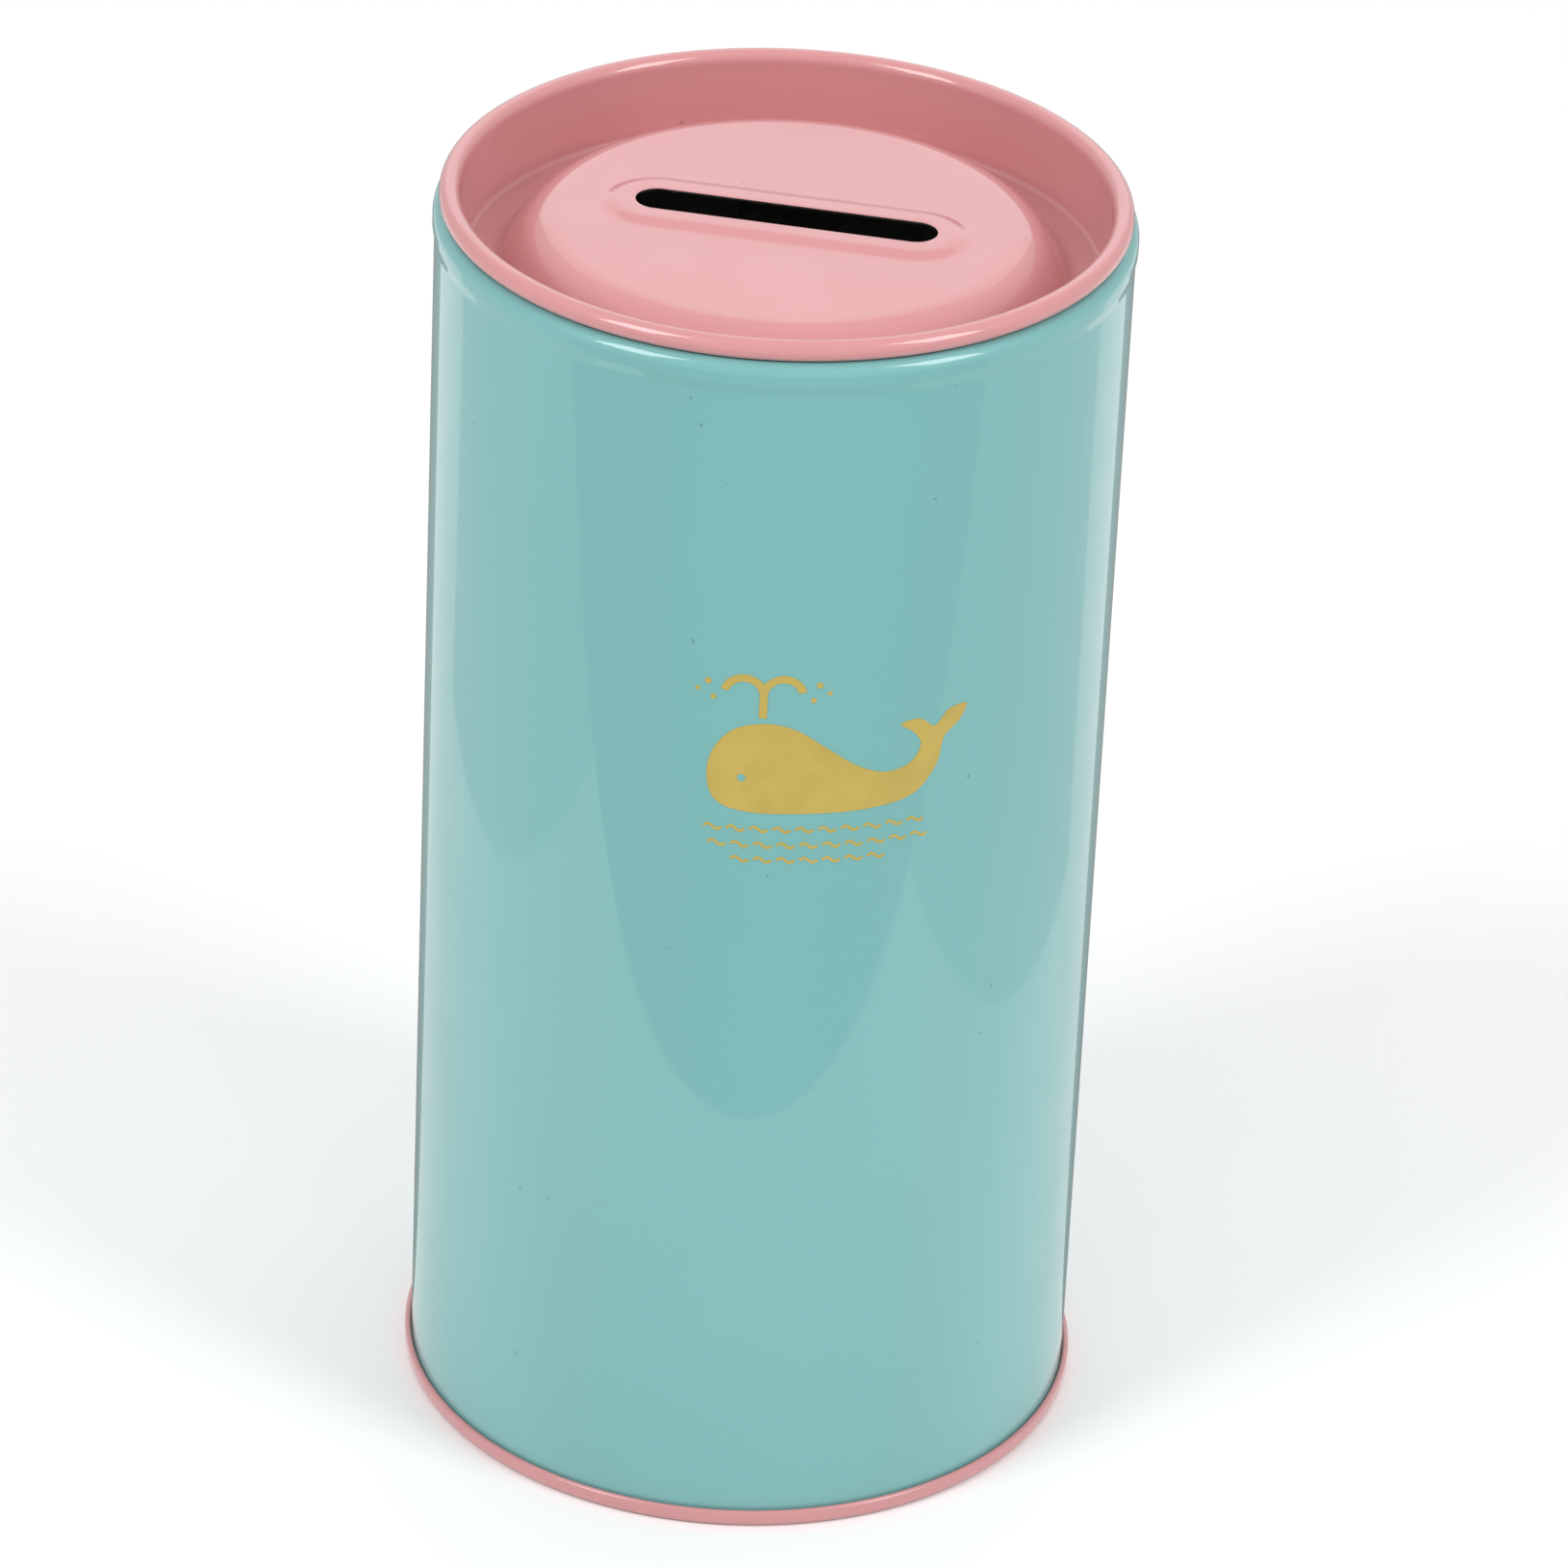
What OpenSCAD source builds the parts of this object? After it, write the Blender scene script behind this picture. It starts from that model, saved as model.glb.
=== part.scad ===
// Tin money box: a rolled tinplate body with a folded side seam and an inward roll at
// its mouth, a base seamed on by five folded layers, and a plug lid with a coin slot.
// Millimetres. +Z is up, X runs along the coin slot, and the origin is the centre of
// the circle that the box stands on.

/* [Tinplate] */
// Thickness of the sheet that every piece is stamped or rolled from
sheet_t = 0.23; // [0.2:0.01:0.25]
// Gap left between two folded layers
fold_gap = 0.02; // [0.02:0.01:0.04]

/* [Body] */
// Outer radius of the straight wall
body_r = 37.5; // [32:0.5:45]
// Height from the standing edge to the top of the lid's curl
total_h = 146.35; // [110:0.05:180]
// How far the band under the mouth stands out from the wall
band_out = 0.22; // [0.1:0.02:0.5]
// Height of that band, from its upper bend to the centre of the roll
band_h = 1; // [0.8:0.1:6]
// Diameter of the inward roll round the mouth
roll_d = 2.6; // [2.2:0.1:3]

/* [Side seam] */
// Width of the folded layers of the side seam
lock_w = 3.8; // [3:0.1:5]
// Angle of the side seam round the body, from +X
lock_angle = 112.5; // [0:3.75:356.25]

/* [Base] */
// Height of the seam that joins the base to the body
seam_h = 2; // [1.9:0.1:3]
// Radius of the rounded foot of that seam, on the outside
seam_foot_r = 0.855; // [0.75:0.005:0.865]
// Height of the base panel above the standing edge
countersink = 3.4; // [3:0.1:5]
// Radius of the stiffening ring pressed into the base panel
ring_r = 29; // [20:0.5:30]
// Depth of the stiffening ring
ring_depth = 0.9; // [0.4:0.1:1.2]

/* [Lid] */
// Diameter of the curl round the lid
curl_d = 2.25; // [2:0.05:2.6]
// Clearance between the lid's wall and the mouth
lid_gap = 0.05; // [0.03:0.01:0.1]
// Depth from the top of the curl to the floor of the channel
channel_depth = 9.05; // [6:0.05:12]
// Height of the raised panel above the floor of the channel
panel_rise = 5.6; // [3:0.1:6]
// Radius at which the flat of the panel turns down
panel_r = 26.5; // [24:0.5:27]
// Radius of the foot of the raised panel
foot_r = 30.7; // [29.5:0.1:32]

/* [Coin slot] */
// Length of the coin slot
slot_l = 33; // [28:0.5:36]
// Width of the coin slot
slot_w = 5; // [4.4:0.1:5.4]
// Width of the embossed border round the slot
border_w = 2.9; // [2:0.1:4]
// Height of the embossed border
border_rise = 0.5; // [0.3:0.05:0.8]

/* [Print] */
// Thickness of the printed ink
ink_t = 0.05; // [0.04:0.01:0.08]
// Angle of the middle of the print round the body, from +X
print_angle = -66.15; // [-180:0.05:180]
// Height of the underside of the printed whale
print_z = 91.25; // [40:0.05:110]

/* [Hidden] */

$fn = 96;
bend_step = 15;                       // degrees of a bend to each flat of its section
half_t = sheet_t / 2;
pitch = sheet_t + fold_gap;           // middle to middle of two folded layers

// Radii of the five layers of the base seam, each at the middle of its sheet.
wall_mid = body_r - half_t;
chuck_mid = wall_mid - pitch;
end_hook_mid = wall_mid + pitch;
body_hook_mid = wall_mid + 2 * pitch;
seam_wall_mid = wall_mid + 3 * pitch;

// The mouth: the lid's curl rests on the body's roll.
band_mid = wall_mid + band_out;
roll_mid = (roll_d - sheet_t) / 2;
roll_r = band_mid - roll_mid;
curl_mid = (curl_d - sheet_t) / 2;
mouth_r = roll_r - roll_d / 2;
lid_wall_mid = mouth_r - lid_gap - half_t;
curl_r = lid_wall_mid + curl_mid;
curl_z = total_h - curl_d / 2;
rest_gap = 0.02;
rest_reach = (curl_d + roll_d) / 2 + rest_gap;
roll_z = curl_z - sqrt(pow(rest_reach, 2) - pow(roll_r - curl_r, 2));

// Levels of the lid, each at the middle of its sheet.
channel_z = total_h - channel_depth - half_t;
panel_z = channel_z + panel_rise;
lid_draft = 0.3;

// The bend out to the band, and the stretch of wall that the side seam takes.
band_rise = 1.2;
band_bend = 1.5;
lock_bottom = 6;
lock_top = roll_z - 10;

// ---- Sections of bent sheet ----

function unit(v) = v / norm(v);
function left_of(v) = [-v[1], v[0]];

// Points of an arc from one angle to another.
function arc(centre, r, from, to) =
    let (steps = ceil(abs(to - from) / bend_step))
    [for (i = [0:steps])
        let (a = from + (to - from) * i / steps)
        centre + r * [cos(a), sin(a)]];

// Points of the bend of radius r at corner b, on the way from a to c.
function bend(a, b, c, r) =
    let (
        back = unit(a - b),
        on = unit(c - b),
        half = acos(back * on) / 2,
        centre = b + unit(back + on) * r / sin(half),
        start = b + back * r / tan(half) - centre,
        side = sign(cross(b - a, c - b)),
        from = atan2(start[1], start[0])
    )
    arc(centre, r, from, from + side * (180 - 2 * half));

// The same line without points that fall on the one before.
function spaced(line) =
    [for (i = [0:len(line) - 1])
        if (i == 0 || norm(line[i] - line[max(i, 1) - 1]) > 0.001) line[i]];

// The middle line of a bent sheet, from corners of [x, y, bend radius].
function bent(corners) =
    spaced([for (i = [0:len(corners) - 1])
        let (p = corners[i], at = [p[0], p[1]])
        each (i == 0 || i == len(corners) - 1 || p[2] == 0)
            ? [at]
            : bend(
                [corners[i - 1][0], corners[i - 1][1]],
                at,
                [corners[i + 1][0], corners[i + 1][1]],
                p[2]
            )]);

// The way from a point of a line to either side of it, so that a strip keeps its width.
function side_step(line, i) =
    let (
        last = len(line) - 1,
        before = left_of(unit(line[max(i, 1)] - line[max(i, 1) - 1])),
        after = left_of(unit(line[min(i, last - 1) + 1] - line[min(i, last - 1)])),
        out = unit(before + after)
    )
    out / (out * before);

// Outline of a sheet of thickness t whose middle is the line.
function strip(line, t = sheet_t) =
    let (last = len(line) - 1)
    concat(
        [for (i = [0:last]) line[i] + side_step(line, i) * t / 2],
        [for (i = [last:-1:0]) line[i] - side_step(line, i) * t / 2]
    );

module turned(line) {
    rotate_extrude() polygon(strip(line));
}

module tube(r, t, bottom, top) {
    translate([0, 0, bottom]) difference() {
        cylinder(r = r, h = top - bottom);
        translate([0, 0, -1]) cylinder(r = r - t, h = top - bottom + 2);
    }
}

// ---- Body ----

// One sheet from the hook that the base is folded round, up the wall and the band,
// to the inward roll round the mouth. The hook is lifted clear of the seam's round foot.
hook_lift = 0.24;
hook_z = half_t + pitch + hook_lift;
body_line = spaced(concat(
    bent([
        [body_hook_mid, seam_h - 0.55, 0],
        [body_hook_mid, hook_z, pitch],
        [wall_mid, hook_z, pitch],
        [wall_mid, roll_z - band_h - band_rise, band_bend],
        [band_mid, roll_z - band_h, band_bend],
        [band_mid, roll_z, 0]
    ]),
    arc([roll_r, roll_z], roll_mid, 0, 310)
));

// The side seam in plan. Its middle is on +X, and a point is
// [how far round to the left, how deep under the outer face].
lock_half = lock_w / 2;
lock_span = 7.5;                      // angle from the middle of the seam to the round wall
lock_start = wall_mid * sin(lock_span);
lock_start_depth = body_r - wall_mid * cos(lock_span);
lock_corner = wall_mid * tan(lock_span / 2);
layer = [for (i = [0:3]) half_t + i * pitch];

// One edge of the sheet lies flush and is folded back under itself.
flush_edge_line = bent([
    [-lock_start, lock_start_depth, 0],
    [-lock_corner, layer[0], 8],
    [lock_half, layer[0], pitch],
    [lock_half, layer[2], pitch],
    [-lock_half + 1.1, layer[2], 0]
]);

// The other edge dips under it and is folded back into it.
dipped_edge_line = bent([
    [lock_start, lock_start_depth, 0],
    [lock_corner, layer[0], 0.2],
    [lock_half + pitch, layer[1], 0.2],
    [lock_half + pitch, layer[3], 0.2],
    [-lock_half, layer[3], pitch],
    [-lock_half, layer[1], pitch],
    [lock_half - 0.7, layer[1], 0]
]);

// A seam line as a strip on the plan of the body.
module lock_strip(line) {
    polygon([for (p = strip(line)) [body_r - p[1], p[0]]]);
}

// The part of the plan that the folded seam takes.
module lock_sector() {
    reach = 2 * body_r;
    polygon([
        [0, 0],
        reach * [cos(lock_span), sin(lock_span)],
        reach * [cos(lock_span), -sin(lock_span)]
    ]);
}

module at_lock() {
    rotate(lock_angle) translate([0, 0, lock_bottom])
        linear_extrude(lock_top - lock_bottom) children();
}

module body_shell() {
    color("mediumturquoise") {
        difference() {
            turned(body_line);
            at_lock() lock_sector();
        }
        at_lock() {
            lock_strip(flush_edge_line);
            lock_strip(dipped_edge_line);
        }
    }
}

// ---- Base ----

base_z = countersink + half_t;
ring_half = 2;
base_line = bent([
    [0, base_z, 0],
    [ring_r - ring_half - 1, base_z, 1],
    [ring_r - ring_half, base_z - ring_depth, 1],
    [ring_r + ring_half, base_z - ring_depth, 1],
    [ring_r + ring_half + 1, base_z, 1],
    [chuck_mid, base_z, 0.8],
    [chuck_mid, half_t, 0.15],
    [seam_wall_mid, half_t, seam_foot_r - half_t],
    [seam_wall_mid, seam_h - half_t, pitch],
    [end_hook_mid, seam_h - half_t, pitch],
    [end_hook_mid, hook_z + half_t + 0.1, 0]
]);

module base_end() {
    color("lightpink") turned(base_line);
}

// ---- Lid ----

lid_line = concat(
    bent([
        [0, panel_z, 0],
        [panel_r, panel_z, 5],
        [foot_r, channel_z, 1.5],
        [lid_wall_mid - lid_draft, channel_z, 0.7],
        [lid_wall_mid, curl_z - 1, 3],
        [lid_wall_mid, curl_z - 0.3, 0]
    ]),
    arc([curl_r, curl_z], curl_mid, 180, -130)
);

// A bar with round ends.
module rounded_bar(l, w) {
    square([l - w, w], center = true);
    for (x = [-1, 1] * (l - w) / 2) translate([x, 0]) circle(d = w);
}

module lid() {
    border_l = slot_l + 2 * border_w;
    border_d = slot_w + 2 * border_w;
    color("lightpink") difference() {
        union() {
            turned(lid_line);
            translate([0, 0, panel_z - half_t])
                linear_extrude(sheet_t + border_rise) rounded_bar(border_l, border_d);
        }
        translate([0, 0, panel_z - half_t - 1])
            linear_extrude(1 + border_rise) rounded_bar(border_l - 2 * sheet_t, border_d - 2 * sheet_t);
        translate([0, 0, panel_z - 2])
            linear_extrude(4) rounded_bar(slot_l, slot_w);
    }
}

// ---- Print ----

// The print is drawn flat: x is the distance round the wall from the middle of the print,
// and y is the height above print_z.

// Points of a smooth closed curve through the given ones.
function smooth_loop(points, steps = 5) =
    let (n = len(points))
    [for (i = [0:n - 1], s = [0:steps - 1])
        let (
            a = points[(i + n - 1) % n],
            b = points[i],
            c = points[(i + 1) % n],
            d = points[(i + 2) % n],
            k = s / steps
        )
        (2 * b + (c - a) * k + (2 * a - 5 * b + 4 * c - d) * pow(k, 2)
            + (3 * b - a - 3 * c + d) * pow(k, 3)) / 2];

// A closed shape seen along the normal at the middle of the print, so that its distances
// round the wall are kept when it is cut out of the wall's skin.
module wrapped(points) {
    polygon([for (p = points) [body_r * sin(p[0] / body_r * 180 / PI), p[1]]]);
}

module wrapped_dot(centre, r) {
    wrapped(arc(centre, r, 0, 345));
}

whale_points = [
    [-14.1, 4], [-13.6, 7.2], [-11.6, 9.8], [-8.4, 10.8], [-5, 10.2], [-1.6, 8],
    [1.8, 5.6], [5, 4.4], [7.8, 5], [9, 7], [8.2, 8.6], [6.6, 9.9], [8.8, 10.2],
    [10.6, 9], [12.2, 10.6], [14.4, 10.8], [13.6, 9], [11.8, 7.4], [11, 4.2],
    [8.4, 1.2], [3.6, 0.2], [-3, 0], [-9.6, 0.1], [-13, 1.2]
];
eye = [-10.4, 4.2];
spout_x = -8.4;
spout_foot = 11.5;
jet_z = 14.1;
jet_r = 2.1;
jet_w = 0.85;
// Drops on one side of the spout, as [distance from it, height, radius].
drops = [[5.9, 15.5, 0.35], [5.3, 13.7, 0.3], [7, 14.5, 0.25]];
ripple_w = 0.3;
ripple_rise = 0.28;
ripple_len = 1.9;
ripple_step = 2.45;
// Rows of ripples, as [x of the first, height, number].
ripple_rows = [[-14.2, -2, 10], [-13.7, -3.9, 10], [-11.2, -5.7, 7]];

module whale() {
    difference() {
        wrapped(smooth_loop(whale_points));
        wrapped_dot(eye, 0.45);
    }
}

module spout() {
    wrapped([
        for (side = [[-1, -1], [1, -1], [1, 1], [-1, 1]])
            [spout_x + side[0] * jet_w / 2, side[1] < 0 ? spout_foot : jet_z]
    ]);
    wrapped(strip(arc([spout_x - jet_r, jet_z], jet_r, 0, 165), jet_w));
    wrapped(strip(arc([spout_x + jet_r, jet_z], jet_r, 180, 15), jet_w));
    for (side = [-1, 1], d = drops) wrapped_dot([spout_x + side * d[0], d[1]], d[2]);
}

// A ripple is one wave of a sine, as a thin bar.
module ripple(start) {
    line = [for (k = [0:0.125:1]) start + [k * ripple_len, ripple_rise * sin(360 * k)]];
    wrapped(strip(line, ripple_w));
}

module ripples() {
    for (row = ripple_rows, i = [0:row[2] - 1]) ripple([row[0] + i * ripple_step, row[1]]);
}

module printed_motif() {
    color("goldenrod") intersection() {
        translate([0, 0, print_z]) rotate([90, 0, print_angle + 90])
            linear_extrude(2 * body_r) {
                whale();
                spout();
                ripples();
            }
        tube(body_r + ink_t, ink_t, print_z - 10, print_z + 25);
    }
}

body_shell();
base_end();
lid();
printed_motif();
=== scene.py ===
"""A tin money box: a turquoise can with a pale pink base and plug lid, and a gold print.

Every piece is one sheet of tinplate, so each is drawn as the middle line of a bent sheet,
given the sheet's thickness and turned round the can's axis. Sections are worked out in
millimetres, and meshes are in metres. The origin is the centre of the circle that the
can stands on, +Z is up and X runs along the coin slot.
"""

from __future__ import annotations

import logging
import math
from collections.abc import Callable, Iterable, Sequence
from dataclasses import dataclass, field
from enum import Enum

import bmesh
import bpy
from mathutils import Matrix, Vector

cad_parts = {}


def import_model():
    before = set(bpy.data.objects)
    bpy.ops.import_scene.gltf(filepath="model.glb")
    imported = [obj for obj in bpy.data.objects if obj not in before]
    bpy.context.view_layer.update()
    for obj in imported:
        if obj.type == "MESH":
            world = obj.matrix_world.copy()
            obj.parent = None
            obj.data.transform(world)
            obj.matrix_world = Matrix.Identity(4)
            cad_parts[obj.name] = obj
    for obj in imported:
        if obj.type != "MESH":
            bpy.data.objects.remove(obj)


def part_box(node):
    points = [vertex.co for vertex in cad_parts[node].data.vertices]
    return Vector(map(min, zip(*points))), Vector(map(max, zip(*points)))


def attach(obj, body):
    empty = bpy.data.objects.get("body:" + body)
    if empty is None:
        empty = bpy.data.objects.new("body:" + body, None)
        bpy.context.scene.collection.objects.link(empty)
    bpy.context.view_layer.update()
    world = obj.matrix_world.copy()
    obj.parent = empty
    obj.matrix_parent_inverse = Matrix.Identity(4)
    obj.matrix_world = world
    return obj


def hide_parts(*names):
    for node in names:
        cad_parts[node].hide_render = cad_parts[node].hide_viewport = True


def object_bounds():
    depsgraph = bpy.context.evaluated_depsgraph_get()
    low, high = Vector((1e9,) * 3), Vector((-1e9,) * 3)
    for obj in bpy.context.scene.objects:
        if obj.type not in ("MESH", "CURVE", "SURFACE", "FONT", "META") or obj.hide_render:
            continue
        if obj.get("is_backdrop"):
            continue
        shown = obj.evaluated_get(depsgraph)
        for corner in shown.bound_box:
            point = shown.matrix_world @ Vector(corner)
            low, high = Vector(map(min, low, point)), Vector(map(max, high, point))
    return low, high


log = logging.getLogger("money_box")

MM = 0.001
SEGMENTS = 288  # faces round the can, so that the side seam's edges fall on whole faces
BEND_STEP = 7.5  # degrees of a bend to each face of it
LONG_STRAIGHT = 6  # how many holds make a straight a long one
CREASE = 35.0  # the least angle of a crease, in degrees
SHEET_MERGE = 0.0005  # points of one sheet closer than this are merged, in millimetres
PAPER_ROUGHNESS = 0.9

Colour = tuple[float, float, float]
Corner = tuple[float, float, float]
Line = list[Vector]


class Side(Enum):
    """The side of a section's middle line that carries the lacquer."""

    LEFT = "left"
    RIGHT = "right"


class Slot(Enum):
    """The record's material slots."""

    BODY = "body_lacquer"
    END = "end_lacquer"
    INK = "gold_ink"


# ---------------------------------------------------------------------------
# Sections of bent sheet
# ---------------------------------------------------------------------------


def arc(centre: Vector, radius: float, start: float, end: float, step: float = BEND_STEP) -> Line:
    """Points of an arc.

    Args:
        centre: The arc's centre.
        radius: Its radius.
        start: Angle of its first point, in degrees.
        end: Angle of its last point, in degrees.
        step: The most degrees between two points.

    Returns:
        The points, the first and the last included.
    """
    count = max(1, math.ceil(abs(end - start) / step - 1e-6))
    angles = (math.radians(start + (end - start) * i / count) for i in range(count + 1))
    return [centre + radius * Vector((math.cos(a), math.sin(a))) for a in angles]


def bend(before: Vector, corner: Vector, after: Vector, radius: float) -> Line:
    """Points of the bend at a corner of a line.

    Args:
        before: The corner that the line comes from.
        corner: The corner that is rounded.
        after: The corner that the line goes to.
        radius: The bend's radius.

    Returns:
        The points of the bend.
    """
    back = (before - corner).normalized()
    on = (after - corner).normalized()
    half = math.acos(max(-1.0, min(1.0, back.dot(on)))) / 2
    centre = corner + (back + on).normalized() * radius / math.sin(half)
    start = corner + back * radius / math.tan(half) - centre
    turn = -back.x * on.y + back.y * on.x
    first = math.degrees(math.atan2(start.y, start.x))
    return arc(centre, radius, first, first + math.copysign(180 - 2 * math.degrees(half), turn))


def spaced(line: Line, least: float = 0.001) -> Line:
    """Takes out the points of a line that fall on the one before.

    Args:
        line: The line.
        least: The least distance between two points.

    Returns:
        The line without them.
    """
    kept = line[:1]
    for point in line[1:]:
        if (point - kept[-1]).length > least:
            kept.append(point)
    return kept


def bent(corners: Sequence[Corner]) -> Line:
    """The middle line of a bent sheet.

    Args:
        corners: Each corner's x and y and the radius of its bend, in millimetres.

    Returns:
        The line's points.
    """
    flat = [Vector((x, y)) for x, y, _ in corners]
    line: Line = []
    for i, (_, _, radius) in enumerate(corners):
        if radius and 0 < i < len(corners) - 1:
            line += bend(flat[i - 1], flat[i], flat[i + 1], radius)
        else:
            line.append(flat[i])
    return spaced(line)


def held(line: Line, hold: float = 0.12) -> Line:
    """The line with a point close to each end of a long straight.

    The extra points keep the smooth shading of a bend from running along the flat sheet.

    Args:
        line: The line.
        hold: How far from the end of a straight its extra point lies.

    Returns:
        The line with its extra points.
    """
    out: Line = []
    for a, b in zip(line, line[1:]):
        out.append(a)
        if (b - a).length > LONG_STRAIGHT * hold:
            step = (b - a).normalized() * hold
            out += [a + step, b - step]
    return out + line[-1:]


def sides(line: Line, thickness: float) -> tuple[Line, Line]:
    """The two faces of a sheet whose middle is the line.

    Args:
        line: The middle line.
        thickness: The sheet's thickness.

    Returns:
        The points to the left of the line and those to its right.
    """
    left: Line = []
    right: Line = []
    for i, point in enumerate(line):
        a, b = line[max(i, 1) - 1], line[max(i, 1)]
        c, d = line[min(i, len(line) - 2)], line[min(i, len(line) - 2) + 1]
        before = Vector((a.y - b.y, b.x - a.x)).normalized()
        after = Vector((c.y - d.y, d.x - c.x)).normalized()
        out = (before + after).normalized()
        out *= thickness / 2 / out.dot(before)
        left.append(point + out)
        right.append(point - out)
    return left, right


# ---------------------------------------------------------------------------
# Sizes
# ---------------------------------------------------------------------------


@dataclass(frozen=True)
class Tinplate:
    """The sheet that every piece is made from.

    Attributes:
        thickness: Its thickness.
        fold_gap: The gap left between two folded layers.
    """

    thickness: float = 0.23
    fold_gap: float = 0.02

    @property
    def half(self) -> float:
        """Half the sheet's thickness."""
        return self.thickness / 2

    @property
    def pitch(self) -> float:
        """From the middle of one folded layer to the middle of the next."""
        return self.thickness + self.fold_gap


@dataclass(frozen=True)
class CanSizes:
    """The sizes that the pieces share, in millimetres.

    Attributes:
        tin: The sheet.
        wall_r: Outer radius of the straight wall.
        total_h: Height to the top of the lid's curl.
        seam_h: Height of the base seam.
        foot_r: Outer radius of the seam's rounded foot.
        hook_lift: How far the body's hook is lifted clear of that foot.
        band_out: How far the band under the mouth stands out.
        band_h: Height of the band, from its upper bend to the centre of the roll.
        band_rise: Height over which the wall bends out to the band.
        band_bend: Radius of the two bends between the wall and the band.
        roll_d: Diameter of the roll round the mouth.
        curl_d: Diameter of the lid's curl.
        lid_gap: Clearance between the lid's wall and the mouth.
        rest_gap: Gap between the lid's curl and the roll that it rests on.
    """

    tin: Tinplate
    wall_r: float
    total_h: float
    seam_h: float = 2.0
    foot_r: float = 0.855
    hook_lift: float = 0.24
    band_out: float = 0.22
    band_h: float = 1.0
    band_rise: float = 1.2
    band_bend: float = 1.5
    roll_d: float = 2.6
    curl_d: float = 2.25
    lid_gap: float = 0.05
    rest_gap: float = 0.02

    @classmethod
    def from_frame(cls, tin: Tinplate) -> CanSizes:
        """The wall's radius and the height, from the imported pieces.

        Args:
            tin: The sheet.

        Returns:
            The sizes.
        """
        low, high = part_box("body_shell")
        hook_r = (high.x - low.x) / 2 / MM
        return cls(tin=tin, wall_r=hook_r - 2 * tin.pitch, total_h=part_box("lid")[1].z / MM)

    @property
    def wall_mid(self) -> float:
        """Radius of the middle of the wall's sheet."""
        return self.wall_r - self.tin.half

    @property
    def hook_z(self) -> float:
        """Height of the foot of the body's hook, at the middle of its sheet."""
        return self.tin.half + self.tin.pitch + self.hook_lift

    @property
    def band_mid(self) -> float:
        """Radius of the middle of the band's sheet."""
        return self.wall_mid + self.band_out

    @property
    def roll_mid(self) -> float:
        """Radius of the roll's section, at the middle of its sheet."""
        return (self.roll_d - self.tin.thickness) / 2

    @property
    def roll_r(self) -> float:
        """Radius at which the roll's centre lies."""
        return self.band_mid - self.roll_mid

    @property
    def curl_mid(self) -> float:
        """Radius of the curl's section, at the middle of its sheet."""
        return (self.curl_d - self.tin.thickness) / 2

    @property
    def lid_wall_mid(self) -> float:
        """Radius of the middle of the lid's wall."""
        return self.roll_r - self.roll_d / 2 - self.lid_gap - self.tin.half

    @property
    def curl_r(self) -> float:
        """Radius at which the curl's centre lies."""
        return self.lid_wall_mid + self.curl_mid

    @property
    def curl_z(self) -> float:
        """Height of the curl's centre."""
        return self.total_h - self.curl_d / 2

    @property
    def roll_z(self) -> float:
        """Height of the roll's centre, with the lid's curl at rest on it."""
        reach = (self.curl_d + self.roll_d) / 2 + self.rest_gap
        return self.curl_z - math.sqrt(reach**2 - (self.roll_r - self.curl_r) ** 2)


# ---------------------------------------------------------------------------
# Finishes
# ---------------------------------------------------------------------------


class Wiring:
    """A node tree, with short calls that add nodes and link them.

    Attributes:
        tree: The tree.
    """

    tree: bpy.types.NodeTree

    def add(self, kind: str, **settings: object) -> bpy.types.Node:
        """A new node, with its settings.

        Args:
            kind: The node's type.
            **settings: The values of its properties.

        Returns:
            The node.
        """
        node = self.tree.nodes.new(kind)
        for name, value in settings.items():
            setattr(node, name, value)
        return node

    def link(self, source: bpy.types.NodeSocket, target: bpy.types.NodeSocket) -> None:
        """Joins two sockets."""
        self.tree.links.new(source, target)


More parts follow.
